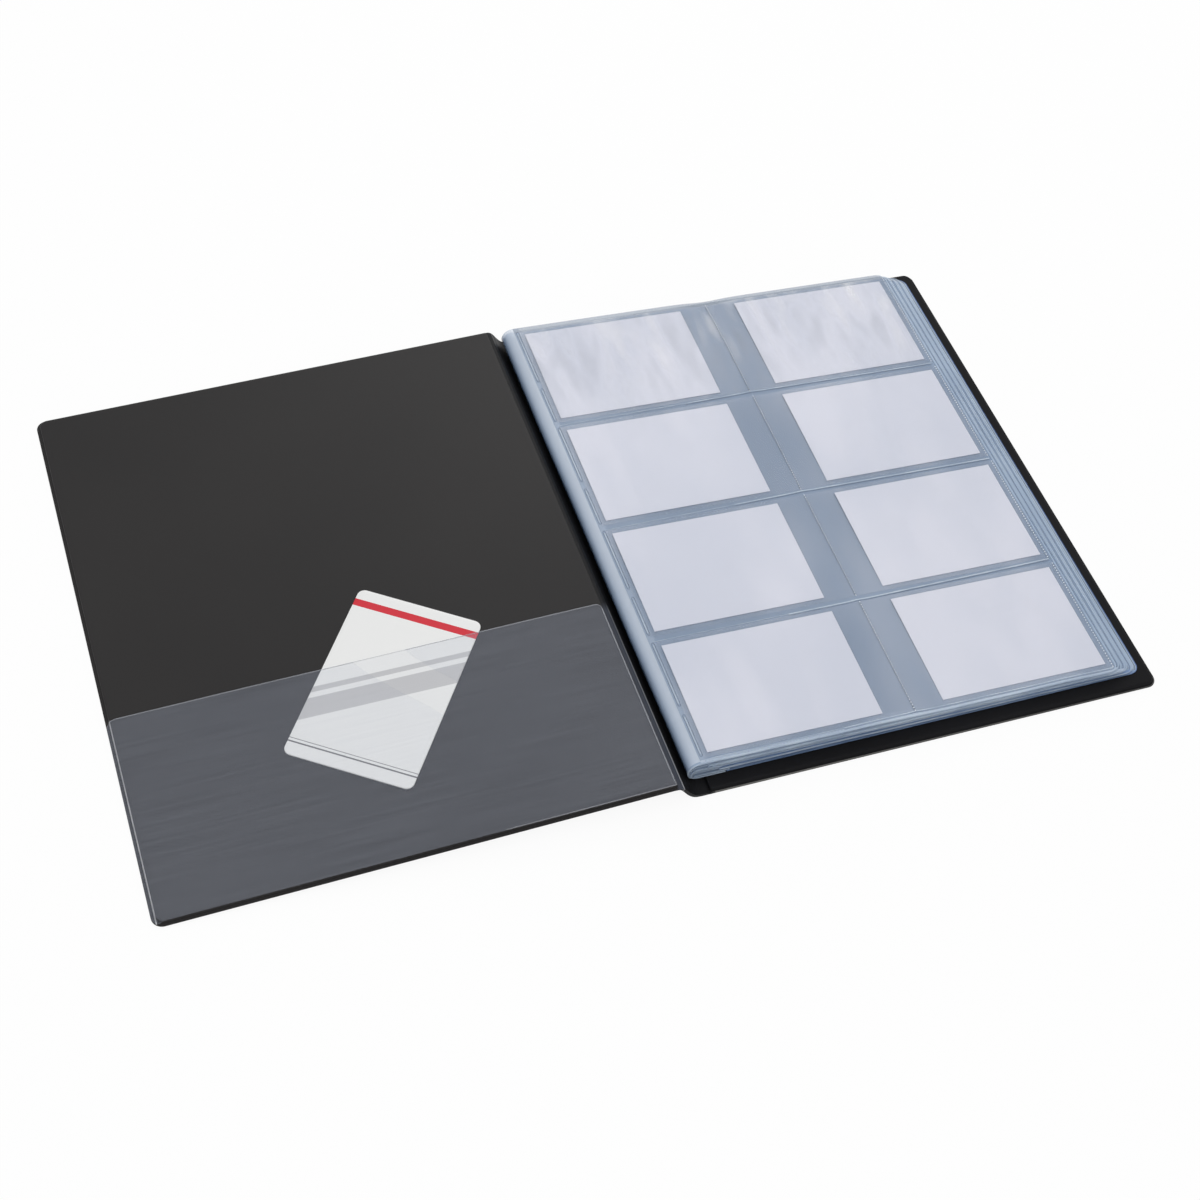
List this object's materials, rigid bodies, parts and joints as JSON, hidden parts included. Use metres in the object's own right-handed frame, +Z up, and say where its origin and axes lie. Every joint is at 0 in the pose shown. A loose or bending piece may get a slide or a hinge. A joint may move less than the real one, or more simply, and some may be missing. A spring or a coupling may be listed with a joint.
{
  "type": "business card album",
  "caption": "Open album with a black welded cover, a frosted inside pocket with a loose card, and clear pocket leaves that turn on the fold and hold white card inserts.",
  "frame": {"origin": "middle of the back cover's flat outer face, between its hinge line and its fore edge", "axes": "+X from the spine to the back cover's fore edge, +Y up the page along the spine, +Z up from the table"},
  "size_m": [0.4301, 0.26, 0.0147],
  "materials": {
    "outer_skin": "fine grained black vinyl",
    "lining": "smooth matte black vinyl",
    "board": "plain grey board",
    "frosted_film": "frosted film with fine streaks",
    "clear_film": "clear film with a blue tint",
    "weld": "pressed weld line in clear film",
    "paper": "smooth white paper",
    "card": "satin white plastic with a plain printed band"
  },
  "bodies": {
    "back_cover": {"back_board": "board", "back_outer_skin": "outer_skin", "back_lining": "lining", "back_hinge_seam": "outer_skin"},
    "spine": {"spine_board": "board", "spine_outer_skin": "outer_skin", "spine_lining": "lining", "front_hinge_seam": "outer_skin"},
    "front_cover": {"front_board": "board", "front_outer_skin": "outer_skin", "front_lining": "lining", "front_pocket_film": "frosted_film", "front_pocket_weld": "frosted_film"},
    "loose_card": {"loose_card": "card"},
    "page_binding": {"fold_bead": "clear_film", "binding_tab": "clear_film"},
    "leaf_1": {"leaf_1_film": "clear_film", "leaf_1_pockets": "clear_film", "leaf_1_welds": "weld"},
    "leaf_2": {"leaf_2_film": "clear_film", "leaf_2_pockets": "clear_film", "leaf_2_welds": "weld", "leaf_2_inserts": "paper"},
    "leaf_3": {"leaf_3_film": "clear_film", "leaf_3_pockets": "clear_film", "leaf_3_welds": "weld", "leaf_3_inserts": "paper"},
    "leaf_4": {"leaf_4_film": "clear_film", "leaf_4_pockets": "clear_film", "leaf_4_welds": "weld", "leaf_4_inserts": "paper"},
    "leaf_5": {"leaf_5_film": "clear_film", "leaf_5_pockets": "clear_film", "leaf_5_welds": "weld", "leaf_5_inserts": "paper"},
    "leaf_6": {"leaf_6_film": "clear_film", "leaf_6_pockets": "clear_film", "leaf_6_welds": "weld", "leaf_6_inserts": "paper"},
    "leaf_7": {"leaf_7_film": "clear_film", "leaf_7_pockets": "clear_film", "leaf_7_welds": "weld", "leaf_7_inserts": "paper"},
    "leaf_8": {"leaf_8_film": "clear_film", "leaf_8_pockets": "clear_film", "leaf_8_welds": "weld", "leaf_8_inserts": "paper"},
    "first_row_left_insert": {"first_row_left_insert": "paper"},
    "first_row_right_insert": {"first_row_right_insert": "paper"},
    "second_row_left_insert": {"second_row_left_insert": "paper"},
    "second_row_right_insert": {"second_row_right_insert": "paper"},
    "third_row_left_insert": {"third_row_left_insert": "paper"},
    "third_row_right_insert": {"third_row_right_insert": "paper"},
    "fourth_row_left_insert": {"fourth_row_left_insert": "paper"},
    "fourth_row_right_insert": {"fourth_row_right_insert": "paper"}
  },
  "joints": [
    {"name": "spine_hinge", "type": "hinge", "parent": "back_cover", "child": "spine", "pos_m": [-0.104, 0, 0.0008], "axis": [0, 1, 0], "range_deg": [0, 45.01]},
    {"name": "front_hinge", "type": "hinge", "parent": "spine", "child": "front_cover", "pos_m": [-0.11826, 0, 0.01006], "axis": [0, 1, 0], "range_deg": [0, 137.55]},
    {"name": "card_slide", "type": "slide", "parent": "front_cover", "child": "loose_card", "axis": [0, 1, 0], "range_m": [0, 0.068]},
    {"name": "page_shift", "type": "slide", "parent": "back_cover", "child": "page_binding", "axis": [1, 0, 0], "range_m": [0, 0.00631]},
    {"name": "leaf_8_turn", "type": "hinge", "parent": "page_binding", "child": "leaf_8", "pos_m": [-0.1105, 0, 0.0138], "axis": [0, 1, 0], "range_deg": [-180, 0]},
    {"name": "leaf_7_turn", "type": "hinge", "parent": "leaf_8", "child": "leaf_7", "pos_m": [-0.1105, 0, 0.0138], "axis": [0, 1, 0], "range_deg": [-180, 0]},
    {"name": "leaf_6_turn", "type": "hinge", "parent": "leaf_7", "child": "leaf_6", "pos_m": [-0.1105, 0, 0.0138], "axis": [0, 1, 0], "range_deg": [-180, 0]},
    {"name": "leaf_5_turn", "type": "hinge", "parent": "leaf_6", "child": "leaf_5", "pos_m": [-0.1105, 0, 0.0138], "axis": [0, 1, 0], "range_deg": [-180, 0]},
    {"name": "leaf_4_turn", "type": "hinge", "parent": "leaf_5", "child": "leaf_4", "pos_m": [-0.1105, 0, 0.0138], "axis": [0, 1, 0], "range_deg": [-180, 0]},
    {"name": "leaf_3_turn", "type": "hinge", "parent": "leaf_4", "child": "leaf_3", "pos_m": [-0.1105, 0, 0.0138], "axis": [0, 1, 0], "range_deg": [-180, 0]},
    {"name": "leaf_2_turn", "type": "hinge", "parent": "leaf_3", "child": "leaf_2", "pos_m": [-0.1105, 0, 0.0138], "axis": [0, 1, 0], "range_deg": [-180, 0]},
    {"name": "leaf_1_turn", "type": "hinge", "parent": "leaf_2", "child": "leaf_1", "pos_m": [-0.1105, 0, 0.0138], "axis": [0, 1, 0], "range_deg": [-180, 0]},
    {"name": "first_row_left_slide", "type": "slide", "parent": "leaf_1", "child": "first_row_left_insert", "axis": [0.0003, 1, 0.0096], "range_m": [0, 0.056]},
    {"name": "first_row_right_slide", "type": "slide", "parent": "leaf_1", "child": "first_row_right_insert", "axis": [0.0003, 1, 0.0096], "range_m": [0, 0.056]},
    {"name": "second_row_left_slide", "type": "slide", "parent": "leaf_1", "child": "second_row_left_insert", "axis": [0.0003, 1, 0.0096], "range_m": [0, 0.056]},
    {"name": "second_row_right_slide", "type": "slide", "parent": "leaf_1", "child": "second_row_right_insert", "axis": [0.0003, 1, 0.0096], "range_m": [0, 0.056]},
    {"name": "third_row_left_slide", "type": "slide", "parent": "leaf_1", "child": "third_row_left_insert", "axis": [0.0003, 1, 0.0096], "range_m": [0, 0.056]},
    {"name": "third_row_right_slide", "type": "slide", "parent": "leaf_1", "child": "third_row_right_insert", "axis": [0.0003, 1, 0.0096], "range_m": [0, 0.056]},
    {"name": "fourth_row_left_slide", "type": "slide", "parent": "leaf_1", "child": "fourth_row_left_insert", "axis": [0.0003, 1, 0.0096], "range_m": [0, 0.056]},
    {"name": "fourth_row_right_slide", "type": "slide", "parent": "leaf_1", "child": "fourth_row_right_insert", "axis": [0.0003, 1, 0.0096], "range_m": [0, 0.056]}
  ],
  "couplings": [
    {"joint": "spine_hinge", "follows": "front_hinge", "ratio": 0.32715},
    {"joint": "page_shift", "follows": "front_hinge", "m_per_rad": 0.0026242}
  ]
}
